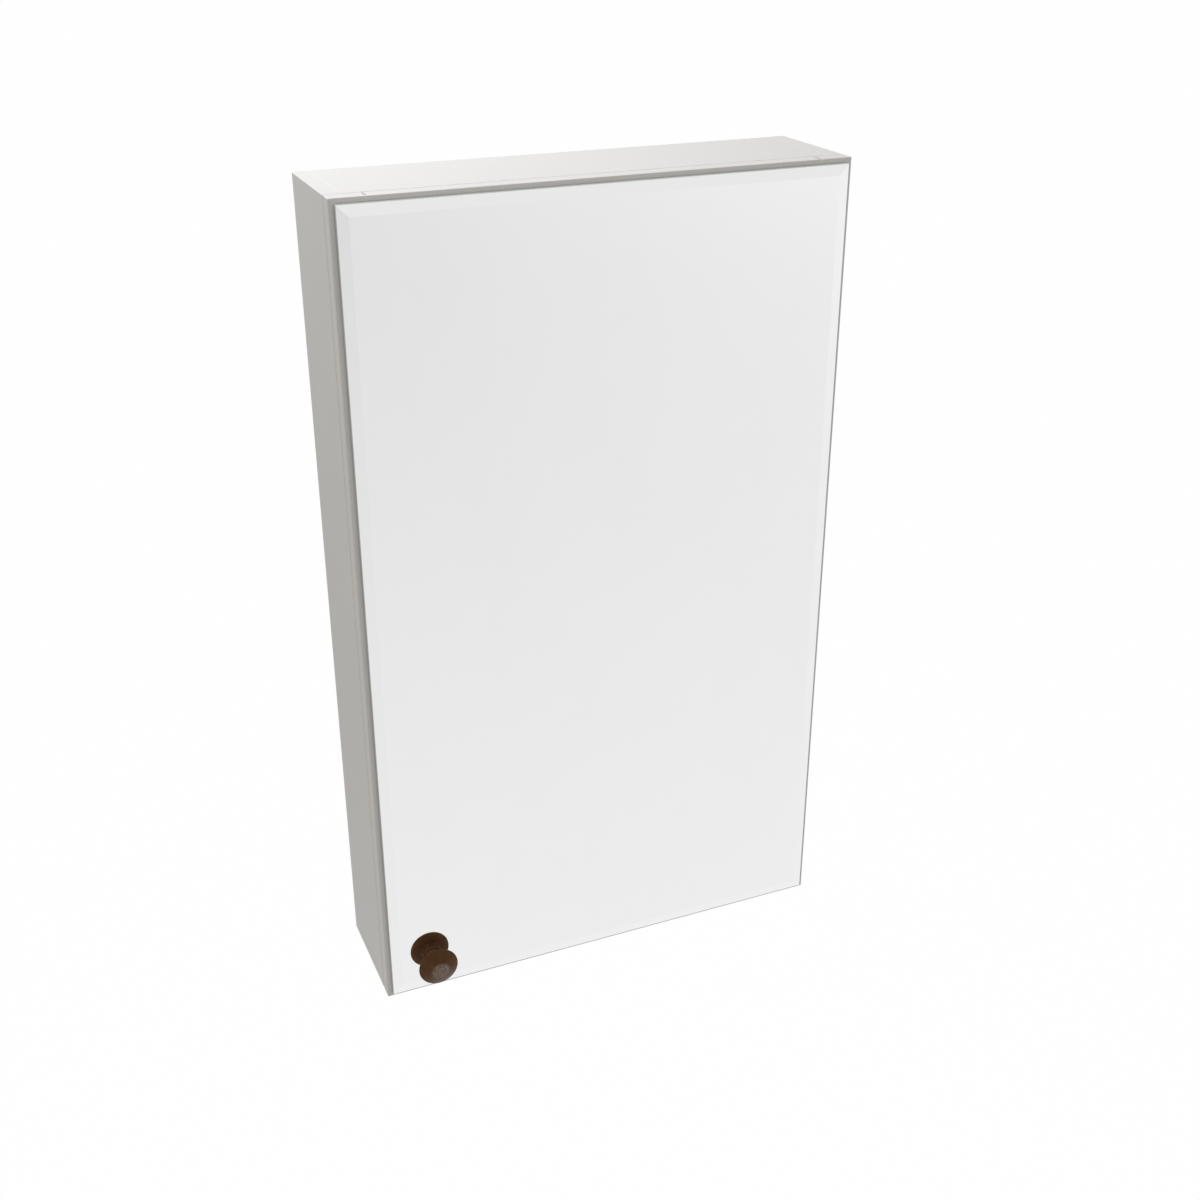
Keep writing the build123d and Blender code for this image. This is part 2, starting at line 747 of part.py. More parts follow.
leaf_screw = flat_head_screw(leaf_screw_head(leaf_thickness), hinge_screw_shank, hinge_screw_length)
with BuildPart() as hinge_box_screws:
    for hinge_z in hinge_places.values():
        with Locations(*box_leaf_seats(hinge_z, box_depth + leaf_thickness)):
            add(leaf_screw)
save(hinge_box_screws, "hinge_box_screws")

with BuildPart() as hinge_door_screws:
    for hinge_z in hinge_places.values():
        with Locations(*door_leaf_seats(hinge_z, door_back - leaf_thickness)):
            add(leaf_screw)
save(hinge_door_screws, "hinge_door_screws")

# Magnetic catch: a housing with two slotted ears, and a magnet between two steel poles in its pocket
pocket_width = magnet_thickness + 2 * pole_thickness + 2 * magnet_space
pocket_height = catch_height - 2 * catch_wall
magnet_height = pocket_height - 2 * magnet_space
pocket_back = catch_front - catch_depth + catch_wall

with BuildPart() as catch_housing:
    with BuildSketch(at_depth(catch_front - catch_depth)):
        with Locations((catch_x, catch_z)):
            Rectangle(catch_width, catch_height)
    extrude(amount=catch_depth)
    room_side = catch_housing.faces().sort_by(Axis.X)[-1]
    fillet(room_side.edges(), radius=catch_round)
    with BuildSketch(at_depth(catch_front - catch_depth)):
        with Locations((catch_ear_thickness / 2 - inner_half_width, catch_z)):
            Rectangle(catch_ear_thickness, catch_height + 2 * catch_ear_height)
    extrude(amount=catch_ear_depth)
    ear_corners = catch_housing.edges().filter_by(Axis.X).group_by(Axis.Z)
    fillet(ear_corners[0] + ear_corners[-1], radius=2 * catch_round)
    for place in catch_screw_seats(catch_ear_thickness - inner_half_width):
        with BuildSketch(place):
            SlotOverall(catch_slot_length, catch_screw_shank + 2 * screw_clearance)
        extrude(amount=-catch_ear_thickness, mode=Mode.SUBTRACT)
    with BuildSketch(at_depth(pocket_back)):
        with Locations((catch_x, catch_z)):
            Rectangle(pocket_width, pocket_height)
    extrude(amount=catch_depth, mode=Mode.SUBTRACT)
save(catch_housing, "catch_housing")

with BuildPart() as catch_magnet:
    with BuildSketch(at_depth(pocket_back)):
        with Locations((catch_x, catch_z)):
            Rectangle(magnet_thickness, magnet_height)
    extrude(amount=catch_front - pole_stand_out - pocket_back)
save(catch_magnet, "catch_magnet")

with BuildPart() as catch_poles:
    pole_x = (magnet_thickness + pole_thickness) / 2
    with BuildSketch(at_depth(pocket_back)):
        with Locations((catch_x - pole_x, catch_z), (catch_x + pole_x, catch_z)):
            Rectangle(pole_thickness, magnet_height)
    extrude(amount=box_depth - pocket_back)
save(catch_poles, "catch_poles")

catch_screw = pan_head_screw(catch_screw_head, catch_screw_head_height, catch_screw_shank, catch_screw_length)
with BuildPart() as catch_screws:
    with Locations(*catch_screw_seats(catch_ear_thickness - inner_half_width)):
        add(catch_screw)
save(catch_screws, "catch_screws")

with BuildPart() as strike_plate:
    with BuildSketch(at_depth(door_back)):
        with Locations((catch_x, catch_z)):
            RectangleRounded(strike_width, strike_height, strike_corner)
    extrude(amount=-strike_thickness)
    with Locations(seat(catch_x, door_back - strike_thickness, catch_z, to_wall)):
        sink_hole(leaf_screw_head(strike_thickness), hinge_screw_shank)
save(strike_plate, "strike_plate")

plate_screw = flat_head_screw(leaf_screw_head(strike_thickness), hinge_screw_shank, hinge_screw_length)
with BuildPart() as strike_screw:
    with Locations(seat(catch_x, door_back - strike_thickness, catch_z, to_wall)):
        add(plate_screw)
save(strike_screw, "strike_screw")

# Soft stops: a low dome near each end of the left side
with BuildPart() as soft_stop:
    with BuildSketch(Plane.XY):
        Circle(bumper_diameter / 2)
    extrude(amount=bumper_height)
    fillet(soft_stop.edges().sort_by(Axis.Z)[-1], radius=0.9 * bumper_height)

with BuildPart() as door_bumpers:
    with Locations(*bumper_seats()):
        add(soft_stop.part)
save(door_bumpers, "door_bumpers")
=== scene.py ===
import math

import bmesh
import bpy
import numpy as np
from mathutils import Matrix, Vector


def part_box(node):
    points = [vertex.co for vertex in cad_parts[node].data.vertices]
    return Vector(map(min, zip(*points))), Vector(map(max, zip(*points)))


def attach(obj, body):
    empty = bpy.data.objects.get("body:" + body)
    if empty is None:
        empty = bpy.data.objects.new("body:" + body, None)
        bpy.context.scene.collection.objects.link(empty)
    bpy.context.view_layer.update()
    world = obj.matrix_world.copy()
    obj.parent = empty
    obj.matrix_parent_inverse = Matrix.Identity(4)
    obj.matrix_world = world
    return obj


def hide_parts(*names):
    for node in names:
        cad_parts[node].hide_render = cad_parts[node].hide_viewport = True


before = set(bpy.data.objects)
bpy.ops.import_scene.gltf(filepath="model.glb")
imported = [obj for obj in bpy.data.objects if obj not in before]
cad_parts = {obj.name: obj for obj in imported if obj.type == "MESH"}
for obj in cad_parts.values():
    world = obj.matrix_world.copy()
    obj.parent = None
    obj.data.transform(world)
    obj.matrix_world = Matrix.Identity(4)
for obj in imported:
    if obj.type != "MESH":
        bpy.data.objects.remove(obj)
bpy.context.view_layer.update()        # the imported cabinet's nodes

# Everything is in metres: +X to the right, +Y into the wall, +Z up, origin on the wall behind the cabinet


def nodeBox(node):
    # lowest and highest corner of a carried-over node, as arrays
    low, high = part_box(node)
    return np.array(low), np.array(high)


def nodePoints(node):
    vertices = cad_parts[node].data.vertices
    flat = np.empty(3 * len(vertices), np.float32)
    vertices.foreach_get("co", flat)
    return flat.reshape(-1, 3).astype(float)


# Camera where the photograph was taken from, worked out from the cabinet's edges

photoView = {
    "place": (-0.4144, -1.0610, 0.5098),
    "heading": 23.065,           # degrees right of straight at the wall
    "dip": 25.864,               # degrees below the horizon
    "lens": 45.97,
    "sensor": 36.0,
    "nearest": 0.01,
    "farthest": 200.0,
}


def placeCamera():
    camera = bpy.data.cameras.new("photoCamera")
    camera.lens = photoView["lens"]
    camera.sensor_width = photoView["sensor"]
    camera.clip_start = photoView["nearest"]
    camera.clip_end = photoView["farthest"]
    holder = bpy.data.objects.new("photoCamera", camera)
    holder.location = photoView["place"]
    holder.rotation_euler = (math.radians(90 - photoView["dip"]), 0, -math.radians(photoView["heading"]))
    bpy.context.scene.collection.objects.link(holder)
    bpy.context.scene.camera = holder


placeCamera()
print("camera placed")


# Shader maths: a Signal is one output socket, and arithmetic on it adds Math nodes

class Signal:
    def __init__(self, finish, socket):
        self.finish = finish
        self.socket = socket

    def math(self, operation, *values):
        return self.finish.math(operation, self, *values)

    def __add__(self, other):
        return self.finish.math("ADD", self, other)

    __radd__ = __add__

    def __sub__(self, other):
        return self.finish.math("SUBTRACT", self, other)

    def __rsub__(self, other):
        return self.finish.math("SUBTRACT", other, self)

    def __mul__(self, other):
        return self.finish.math("MULTIPLY", self, other)

    __rmul__ = __mul__

    def __truediv__(self, other):
        return self.finish.math("DIVIDE", self, other)


class Finish:
    # One node tree, of a material or of the world, and the nodes that this script needs in it
    def __init__(self, owner):
        self.owner = owner
        owner.use_nodes = True
        self.tree = owner.node_tree
        self.tree.nodes.clear()

    def node(self, kind, settings=None, sockets=None, out=0):
        made = self.tree.nodes.new(kind)
        for name, value in (settings or {}).items():
            setattr(made, name, value)
        for name, value in (sockets or {}).items():
            self.feed(made.inputs[name], value)
        return Signal(self, made.outputs[out] if len(made.outputs) else None)

    def feed(self, socket, value):
        if isinstance(value, Signal):
            self.tree.links.new(value.socket, socket)
        elif socket.type == "RGBA" and len(value) == 3:
            socket.default_value = (*value, 1.0)
        else:
            socket.default_value = value

    def math(self, operation, *values):
        return self.node("ShaderNodeMath", {"operation": operation}, dict(enumerate(values)))

    def vectorMath(self, operation, *values, out=0):
        return self.node("ShaderNodeVectorMath", {"operation": operation}, dict(enumerate(values)), out)

    def coordinate(self, vector, axis):
        # one coordinate of a vector: 0 is X, 1 is Y and 2 is Z
        return self.node("ShaderNodeSeparateXYZ", None, {0: vector}, out=axis)

    def place(self):
        return self.node("ShaderNodeTexCoord", out="Object")

    def noise(self, vector, scale, detail=3.0, roughness=0.55):
        sockets = {"Vector": vector, "Scale": scale, "Detail": detail, "Roughness": roughness}
        return self.node("ShaderNodeTexNoise", None, sockets)

    def streaks(self, vector, stretch, detail, roughness=0.55):
        # noise with a scale of its own along each axis
        stretched = self.node("ShaderNodeMapping", None, {"Vector": vector, "Scale": stretch})
        return self.noise(stretched, 1.0, detail, roughness)

    def cells(self, vector, scale):
        return self.node("ShaderNodeTexVoronoi", None, {"Vector": vector, "Scale": scale})

    def step(self, value, low, high, start=0.0, end=1.0):
        # smooth change from start to end while the value goes from low to high
        sockets = {"Value": value, "From Min": low, "From Max": high, "To Min": start, "To Max": end}
        return self.node("ShaderNodeMapRange", {"interpolation_type": "SMOOTHSTEP"}, sockets)

    def blend(self, amount, first, second):
        sockets = {0: amount, 6: first, 7: second}
        return self.node("ShaderNodeMix", {"data_type": "RGBA"}, sockets, out=2)

    def bump(self, height):
        # the height is in metres, so it is taken at full strength and distance
        return self.node("ShaderNodeBump", None, {"Height": height, "Distance": 1.0, "Strength": 1.0})

    def surface(self, **sockets):
        # principled shader from plain words: baseColor goes to Base Color, and so on
        named = {}
        for name, value in sockets.items():
            spaced = "".join(" " + letter if letter.isupper() else letter for letter in name)
            named[spaced.title().replace("Ior", "IOR")] = value
        shader = self.node("ShaderNodeBsdfPrincipled", None, named)
        self.node("ShaderNodeOutputMaterial", None, {"Surface": shader})
        return self.owner


def newFinish(name):
    return Finish(bpy.data.materials.new(name))


def edgeNearness(finish, where, low, high, width):
    # 1 on the edges of a box and 0 a width away: the second largest of the three distances to its faces
    middle, half = (low + high) / 2, (high - low) / 2
    folded = finish.vectorMath("ABSOLUTE", finish.vectorMath("SUBTRACT", where, tuple(middle)))
    past = finish.vectorMath("SUBTRACT", folded, tuple(half))
    x, y, z = (finish.coordinate(past, axis) for axis in range(3))
    larger = x.math("MAXIMUM", y)
    smaller = x.math("MINIMUM", y)
    second = larger.math("MINIMUM", z).math("MAXIMUM", smaller)
    return finish.step(second, -width, 0.0)


# Paint on the boards: a soft white with a faint roller texture, a drift of tone, a painted highlight along
# the edges, and on the door frame a hairline at each joint, a painted highlight in front and painted shade on
# top and underneath

paintLook = {
    "white": (0.790, 0.785, 0.775),
    "warm": (0.768, 0.758, 0.740),
    "primer": (0.600, 0.570, 0.520),
    # painted highlight: the paler colour that the rounded edges are blended towards
    "edge": (0.900, 0.893, 0.880),
    # painted highlight of the joints on the front face
    "seam": (0.930, 0.920, 0.900),
    "seamShadow": (0.330, 0.310, 0.280),
    "roughness": 0.52,
    "gloss": 0.22,
    "driftScale": 7.0,
    "driftShare": 0.65,
    "cloudScale": 38.0,
    "toneBand": (0.35, 0.65),
    "evenness": 0.65,            # how much of the change in tone the white hides
    "rollerScale": 520.0,        # bumps of about two millimetres
    "rollerHeight": 0.00002,
    "brushAlong": 25.0,          # brush marks run along the board
    "brushAcross": 420.0,
    "brushHeight": 0.000006,
    "edgeWidth": 0.0006,
    "edgeHighlightShare": 0.6,
    "rubbedScale": 120.0,
    "rubbedBand": (0.66, 0.76),
    "rubbedShare": 0.35,
    "seamPlace": 0.1655,         # the joints' distance from the middle
    "seamWidth": 0.0006,
    "seamTurn": (0.0004, 0.0010),    # depths between which the painted highlight of a joint turns into its painted shade
}


def jointHairlines(finish, where, front, painted):
    look = paintLook
    x, y = finish.coordinate(where, 0), finish.coordinate(where, 1)
    off = (x.math("ABSOLUTE") - look["seamPlace"]).math("ABSOLUTE")
    near = finish.step(off, look["seamWidth"] * 0.5, look["seamWidth"], 1.0, 0.0)
    turnStart, turnEnd = look["seamTurn"]
    # painted highlight on the front face at each joint, and painted shade of the joint on the top and bottom
    # faces
    inFront = finish.step(y, front + turnStart, front + turnEnd, 1.0, 0.0)
    return finish.blend(near, painted, finish.blend(inFront, look["seamShadow"], look["seam"]))


def boardPaint(node, jointed):
    look = paintLook
    low, high = nodeBox(node)
    finish = newFinish("paint_" + node)
    where = finish.place()
    size = high - low
    stretch = tuple(look["brushAlong"] if length == size.max() else look["brushAcross"] for length in size)
    drift = finish.noise(where, look["driftScale"], detail=2.0)
    cloud = finish.noise(where, look["cloudScale"], detail=4.0)
    roller = finish.noise(where, look["rollerScale"])
    brush = finish.streaks(where, stretch, detail=4.0, roughness=0.6)
    edge = edgeNearness(finish, where, low, high, look["edgeWidth"])
    specks = finish.noise(where, look["rubbedScale"], detail=5.0, roughness=0.7)
    rubbed = edge * finish.step(specks, *look["rubbedBand"])
    tone = finish.step(drift * look["driftShare"] + cloud * (1 - look["driftShare"]), *look["toneBand"])
    toned = finish.blend(tone, look["white"], look["warm"])
    quiet = finish.blend(look["evenness"], toned, look["white"])
    # painted highlight along the edges of each board
    lit = finish.blend(edge * look["edgeHighlightShare"], quiet, look["edge"])
    colour = finish.blend(rubbed * look["rubbedShare"], lit, look["primer"])
    if jointed:
        colour = jointHairlines(finish, where, low[1], colour)
    return finish.surface(
        baseColor=colour,
        roughness=look["roughness"] + (roller - 0.5) * 0.10 + edge * 0.06 + (cloud - 0.5) * 0.06,
        normal=finish.bump(roller * look["rollerHeight"] + brush * look["brushHeight"]),
        specularIorLevel=look["gloss"],
    )


# Thin panels: smooth white on the room side, brown pressed fibre on the wall side

panelLook = {
    "white": (0.780, 0.770, 0.750),
    "warm": (0.745, 0.730, 0.700),
    "fibre": (0.235, 0.140, 0.075),
    "fibreDark": (0.130, 0.072, 0.036),
    "skin": 0.0006,              # how deep the white face is before fibre shows on the cut edge
    "driftScale": 9.0,
    "driftBand": (0.3, 0.7),
    "grainScale": 1500.0,
    "grainHeight": 0.000008,
    "fibreStretch": (140.0, 140.0, 900.0),
    "fibreShare": 0.7,
    "fibreBand": (0.32, 0.66),
    "fibreHeight": 0.00010,
    "meshScale": 620.0,          # print of the mesh that the fibre was pressed on
    "meshHeight": 0.00006,
    "roughness": 0.36,
    "fibreRoughness": 0.42,      # how much rougher the fibre is
}


def panelFinish(node, whiteSide):
    # whiteSide is +1 where the white face looks along +Y, and -1 where it looks into the room
    look = panelLook
    low, high = nodeBox(node)
    finish = newFinish("panel_" + node)
    where = finish.place()
    face = high[1] if whiteSide > 0 else low[1]
    depth = (finish.coordinate(where, 1) - face) * -whiteSide
    behind = finish.step(depth, look["skin"], look["skin"] * 1.3)
    drift = finish.noise(where, look["driftScale"])
    grain = finish.noise(where, look["grainScale"], detail=2.0)
    fibres = finish.streaks(where, look["fibreStretch"], detail=6.0, roughness=0.7)
    mesh = finish.noise(where, look["meshScale"], detail=2.0)
    white = finish.blend(finish.step(drift, *look["driftBand"]), look["white"], look["warm"])
    shade = finish.step(fibres * look["fibreShare"] + mesh * (1 - look["fibreShare"]), *look["fibreBand"])
    brown = finish.blend(shade, look["fibreDark"], look["fibre"])
    pressed = fibres * look["fibreHeight"] + mesh * look["meshHeight"]
    return finish.surface(
        baseColor=finish.blend(behind, white, brown),
        roughness=look["roughness"] + behind * look["fibreRoughness"] + (grain - 0.5) * 0.08,
        normal=finish.bump(grain * look["grainHeight"] + behind * pressed),
    )


# Silvered glass: near-perfect mirror with the faintest haze, ground rim, painted back

mirrorLook = {
    "silver": (0.905, 0.912, 0.908),
    "silverEdge": (0.880, 0.890, 0.884),
    "roughness": 0.012,
    "hazeRoughness": 0.014,      # what the haze adds
    "hazeScale": 14.0,
    "hazeShare": 0.6,
    "hazeBand": (0.42, 0.78),
    "wipeStretch": (30.0, 30.0, 7.0),
    "bevelRoughness": 0.02,
    "bevelHazeScale": 24.0,
    "rippleScale": 160.0,
    "rippleHeight": 0.000004,
    "rim": (0.750, 0.780, 0.770),
    "rimDeep": (0.66, 0.70, 0.69),
    "rimScale": 60.0,
    "rimRoughness": 0.22,
    "grindScale": 900.0,
    "grindHeight": 0.00001,
    "back": (0.300, 0.305, 0.310),
    "backThin": (0.24, 0.25, 0.26),
    "backScale": 45.0,
    "backHeight": 0.00004,
}


def silveredFinish():
    look = mirrorLook
    finish = newFinish("silvered_face")
    where = finish.place()
    haze = finish.noise(where, look["hazeScale"], detail=5.0, roughness=0.6)
    wiped = finish.streaks(where, look["wipeStretch"], detail=6.0, roughness=0.65)
    cloudy = finish.step(haze * look["hazeShare"] + wiped * (1 - look["hazeShare"]), *look["hazeBand"])
    return finish.surface(
        baseColor=finish.blend(cloudy * 0.5, look["silver"], look["silverEdge"]),
        metallic=1.0,
        roughness=look["roughness"] + cloudy * look["hazeRoughness"],
    )


def bevelFinish():
    look = mirrorLook
    finish = newFinish("polished_bevel")
    where = finish.place()
    ripple = finish.noise(where, look["rippleScale"], detail=2.0)
    haze = finish.noise(where, look["bevelHazeScale"], detail=4.0)
    return finish.surface(
        baseColor=finish.blend(haze, look["silver"], look["silverEdge"]),
        metallic=1.0,
        roughness=look["bevelRoughness"] + haze * look["bevelRoughness"],
        normal=finish.bump(ripple * look["rippleHeight"]),
    )


def rimFinish():
    look = mirrorLook
    finish = newFinish("ground_glass_rim")
    where = finish.place()
    grind = finish.noise(where, look["grindScale"])
    depth = finish.noise(where, look["rimScale"])
    return finish.surface(
        baseColor=finish.blend(depth, look["rim"], look["rimDeep"]),
        roughness=look["rimRoughness"] + grind * 0.15,
        coatWeight=1.0,
        coatRoughness=0.06,
        coatIor=1.9,
        normal=finish.bump(grind * look["grindHeight"]),
    )


def mirrorBackFinish():
    look = mirrorLook
    finish = newFinish("mirror_back_paint")
    flow = finish.noise(finish.place(), look["backScale"], detail=5.0)
    return finish.surface(
        baseColor=finish.blend(flow, look["back"], look["backThin"]),
        roughness=0.55 + flow * 0.15,
        normal=finish.bump(flow * look["backHeight"]),
    )


# Dark rubbed bronze on the knob, a little redder where hands have polished the rim, and a painted light
# lifting the shaded underside of the head

bronzeLook = {
    "brown": (0.134, 0.061, 0.0265),
    "dark": (0.112, 0.050, 0.0215),
    "rubbed": (0.155, 0.074, 0.036),
    # painted light: the paler brown of the shaded underside
    "under": (0.190, 0.088, 0.039),
    "roughness": 0.46,
    "gloss": 0.08,
    "polish": 1.0,               # clear wax on the flat face, where thumbs press
    "faint": 0.02,               # and the little of it elsewhere
    "waxRoughness": 0.16,
    "waxIor": 1.75,
    "faceBand": (0.90, 1.30),    # shares of the face's radius between which the wax ends
    "faceDrop": 0.0010,          # and the depth over which it ends
    "raggedness": 0.0024,        # how far the grain moves its edge
    "waxBand": (0.40, 0.58),
    "waxRange": (0.35, 1.3),
    "rimShare": 0.93,            # of the radius, where the handled rim starts
    "handledBand": (0.42, 0.66),
    "handledShare": 0.35,
    "mottleScale": 260.0,
    "mottleBand": (0.35, 0.65),
    "mottleHeight": 0.000012,
    "fineScale": 2200.0,
    "fineHeight": 0.000010,
    "grainScale": 850.0,
    "grainHeight": 0.00002,
    "underLightBand": (-0.0004, 0.0012),  # depths past the rim between which the underside's painted light comes in
}


def bronzeFinish(middle, rimRadius, rimDepth, faceRadius, faceDepth):
    look = bronzeLook
    finish = newFinish("rubbed_bronze")
    where = finish.place()
    offset = finish.vectorMath("SUBTRACT", where, tuple(middle))
    flat = finish.vectorMath("MULTIPLY", offset, (1.0, 0.0, 1.0))
    radius = finish.vectorMath("LENGTH", flat, out="Value")
    depth = finish.coordinate(where, 1)
    mottle = finish.noise(where, look["mottleScale"], detail=5.0, roughness=0.65)
    fine = finish.noise(where, look["fineScale"])
    grain = finish.noise(where, look["grainScale"], detail=2.0)
    onRim = finish.step(radius, rimRadius * look["rimShare"], rimRadius)
    handled = onRim * finish.step(mottle, *look["handledBand"])
    waxEnds = [share * faceRadius for share in look["faceBand"]]
    onFace = finish.step(radius + grain * look["raggedness"], *waxEnds, 1.0, 0.0)
    onFace = onFace * finish.step(depth, faceDepth, faceDepth + look["faceDrop"], 1.0, 0.0)
    worn = onFace * finish.step(grain, *look["waxBand"], *look["waxRange"])
    brown = finish.blend(finish.step(mottle, *look["mottleBand"]), look["dark"], look["brown"])
    # painted light: the underside past the rim is lightened where it lies in shade
    under = finish.step(depth, *(rimDepth + past for past in look["underLightBand"]))
    brown = finish.blend(under, brown, look["under"])
    worked = fine * look["fineHeight"] + mottle * look["mottleHeight"]
    return finish.surface(
        baseColor=finish.blend(handled * look["handledShare"], brown, look["rubbed"]),
        roughness=look["roughness"] + (mottle - 0.5) * 0.12 - handled * 0.06,
        specularIorLevel=look["gloss"],
        coatWeight=look["faint"] + worn * (look["polish"] - look["faint"]),
        coatRoughness=look["waxRoughness"],
        coatIor=look["waxIor"],
        normal=finish.bump(worked + onFace * grain * look["grainHeight"]),
    )


# Plated steel: satin nickel on the hinges and pins, brighter zinc on screws and plates

metalLook = {
    "nickel": {
        "dark": (0.520, 0.490, 0.440), "light": (0.660, 0.630, 0.580),
        "roughness": 0.30, "stretch": (900.0, 900.0, 60.0),
    },
    "zinc": {
        "dark": (0.500, 0.510, 0.525), "light": (0.680, 0.700, 0.720),
        "roughness": 0.26, "stretch": (500.0, 500.0, 500.0),
    },
    "cloudScale": 190.0,
    "cloudHeight": 0.000010,
    "brushHeight": 0.000012,
    "toneBand": (0.30, 0.70),
    "speckScale": 1300.0,
    "speckBand": (0.66, 0.74),
}


def platedFinish(kind):
    look, plate = metalLook, metalLook[kind]
    finish = newFinish(kind + "_plate")
    where = finish.place()
    brushed = finish.streaks(where, plate["stretch"], detail=5.0, roughness=0.7)
    cloud = finish.noise(where, look["cloudScale"], detail=4.0)
    speck = finish.step(finish.noise(where, look["speckScale"]), *look["speckBand"])
    shade = finish.step(brushed * 0.5 + cloud * 0.5, *look["toneBand"])
    return finish.surface(
        baseColor=finish.blend(shade, plate["dark"], plate["light"]),
        metallic=1.0 - speck * 0.25,
        roughness=plate["roughness"] + (brushed - 0.5) * 0.18 + speck * 0.15,
        normal=finish.bump(brushed * look["brushHeight"] + cloud * look["cloudHeight"]),
    )


# Small pieces inside: foam tape, clear washer, catch, magnet, soft stops and dowels

smallLook = {
    "foam": {
        "tones": ((0.66, 0.66, 0.63), (0.48, 0.48, 0.46)),
        "cellScale": 2600.0, "cellShare": 0.8, "cellHeight": 0.00008, "cloudScale": 80.0,
    },
    "washer": {"tones": ((0.74, 0.75, 0.73), (0.62, 0.63, 0.61)), "scale": 300.0, "polish": 0.3},
    "catch": {
        "tones": ((0.78, 0.77, 0.73), (0.70, 0.69, 0.64)),
        "sparkScale": 2400.0, "sparkHeight": 0.00003,
        "flowStretch": (60.0, 60.0, 22.0), "flowBand": (0.3, 0.7),
    },
    "ferrite": {
        "tones": ((0.022, 0.022, 0.024), (0.060, 0.060, 0.064)),
        "scale": 1800.0, "band": (0.35, 0.7), "height": 0.00003,
    },
    "stop": {
        "tones": ((0.72, 0.73, 0.70), (0.60, 0.61, 0.58)),
        "scale": 420.0, "clearness": 0.45, "ior": 1.47,
    },
    "beech": {
        "tones": ((0.42, 0.27, 0.145), (0.62, 0.43, 0.26)),
        "poreStretch": (60.0, 900.0, 900.0), "band": (0.3, 0.7), "poreHeight": 0.00004,
    },
}


def foamFinish():
    look = smallLook["foam"]
    finish = newFinish("foam_tape")
    where = finish.place()
    cell = finish.cells(where, look["cellScale"])
    cloud = finish.noise(where, look["cloudScale"])
    tone = cell * look["cellShare"] + cloud * (1 - look["cellShare"])
    return finish.surface(
        baseColor=finish.blend(tone, *look["tones"]),
        roughness=0.85 + cloud * 0.1,
        normal=finish.bump(cell * look["cellHeight"]),
    )


def clearPlasticFinish():
    look = smallLook["washer"]
    finish = newFinish("clear_washer")
    cloud = finish.noise(finish.place(), look["scale"])
    return finish.surface(
        baseColor=finish.blend(cloud, *look["tones"]),
        roughness=0.18 + cloud * 0.12,
        coatWeight=look["polish"],
        coatRoughness=0.1,
    )


def catchPlasticFinish():
    look = smallLook["catch"]
    finish = newFinish("catch_plastic")
    where = finish.place()
    spark = finish.noise(where, look["sparkScale"], detail=2.0)
    flow = finish.streaks(where, look["flowStretch"], detail=4.0)
    return finish.surface(
        baseColor=finish.blend(finish.step(flow, *look["flowBand"]), *look["tones"]),
        roughness=0.46 + (spark - 0.5) * 0.16,
        normal=finish.bump(spark * look["sparkHeight"]),
    )


def ferriteFinish():
    look = smallLook["ferrite"]
    finish = newFinish("ferrite")
    grain = finish.noise(finish.place(), look["scale"], detail=4.0)
    return finish.surface(
        baseColor=finish.blend(finish.step(grain, *look["band"]), *look["tones"]),
        roughness=0.50 + grain * 0.2,
        normal=finish.bump(grain * look["height"]),
    )


def softStopFinish():
    look = smallLook["stop"]
    finish = newFinish("soft_stop")
    cloud = finish.noise(finish.place(), look["scale"])
    return finish.surface(
        baseColor=finish.blend(cloud, *look["tones"]),
        roughness=0.16 + cloud * 0.14,
        transmissionWeight=look["clearness"],
        ior=look["ior"],
    )


def dowelFinish():
    look = smallLook["beech"]
    finish = newFinish("beech")
    pores = finish.streaks(finish.place(), look["poreStretch"], detail=5.0, roughness=0.7)
    return finish.surface(
        baseColor=finish.blend(finish.step(pores, *look["band"]), *look["tones"]),
        roughness=0.62 + pores * 0.2,
        normal=finish.bump(pores * look["poreHeight"]),
    )


def dress(finish, *nodes):
    # gives carried-over nodes their material
    for node in nodes:
        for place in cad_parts[node].material_slots:
            place.material = finish


cabinetBoards = ["left_side", "right_side", "top_panel", "bottom_panel", "upper_hanging_rail",
                 "lower_hanging_rail", "lower_shelf", "upper_shelf"]
doorBoards = ["door_left_stile", "door_right_stile", "door_top_rail", "door_bottom_rail"]
for board in cabinetBoards + doorBoards:
    dress(boardPaint(board, jointed=board in doorBoards), board)
dress(panelFinish("back_panel", -1), "back_panel")
dress(panelFinish("door_panel", 1), "door_panel")
hingeSteel = platedFinish("nickel")
screwSteel = platedFinish("zinc")
for end in ("upper", "lower"):
    dress(hingeSteel, end + "_hinge_box_leaf", end + "_hinge_door_leaf", end + "_shelf_pins")
dress(screwSteel, "strike_plate", "catch_poles", "knob_washer")
dress(foamFinish(), "mirror_tape")
dress(clearPlasticFinish(), "knob_gasket")
dress(catchPlasticFinish(), "catch_housing")
dress(ferriteFinish(), "catch_magnet")
dress(dowelFinish(), "box_dowels", "door_dowels")
print("carried-over nodes finished")


# Surfaces worked out on a grid, and the pieces made of them

